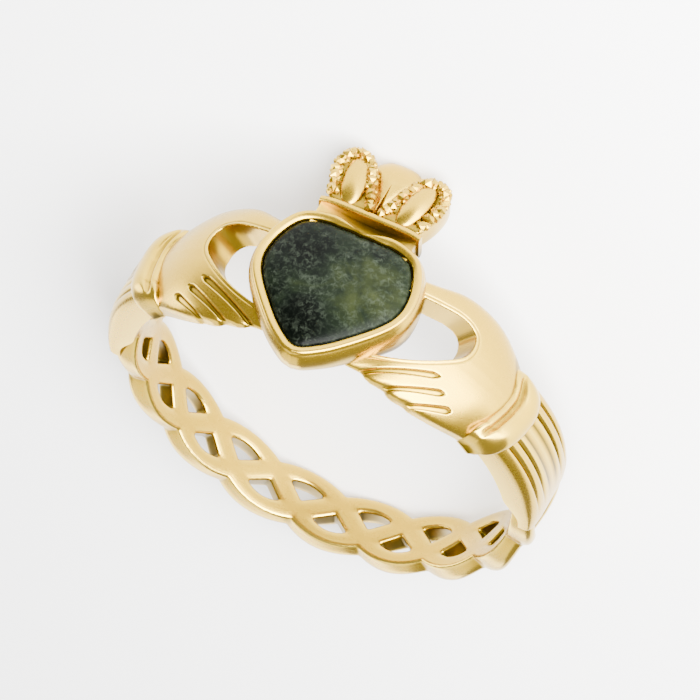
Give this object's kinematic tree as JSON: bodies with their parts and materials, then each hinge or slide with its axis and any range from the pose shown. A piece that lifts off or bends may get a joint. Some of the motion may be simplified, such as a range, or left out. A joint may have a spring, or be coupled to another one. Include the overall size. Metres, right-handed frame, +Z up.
{
  "type": "claddagh ring",
  "caption": "Finger ring whose head is a crowned heart held by hands with cuffed, pleated sleeves, set with a marbled green cabochon, on an openwork plaited band.",
  "frame": {"origin": "on the surface that the ring lies on, below the middle of its bounding box", "axes": "+Z up from that surface, +X across the ring from hand to hand, -Y the way that the heart faces; the finger hole runs nearly upright, tilted towards the head"},
  "size_m": [0.0198, 0.0211, 0.0103],
  "materials": {
    "gold": "polished yellow gold",
    "marble": "polished green marble, mottled with black and grey"
  },
  "bodies": {
    "root": {"ring_body": "gold", "heart_stone": "marble"}
  },
  "joints": []
}
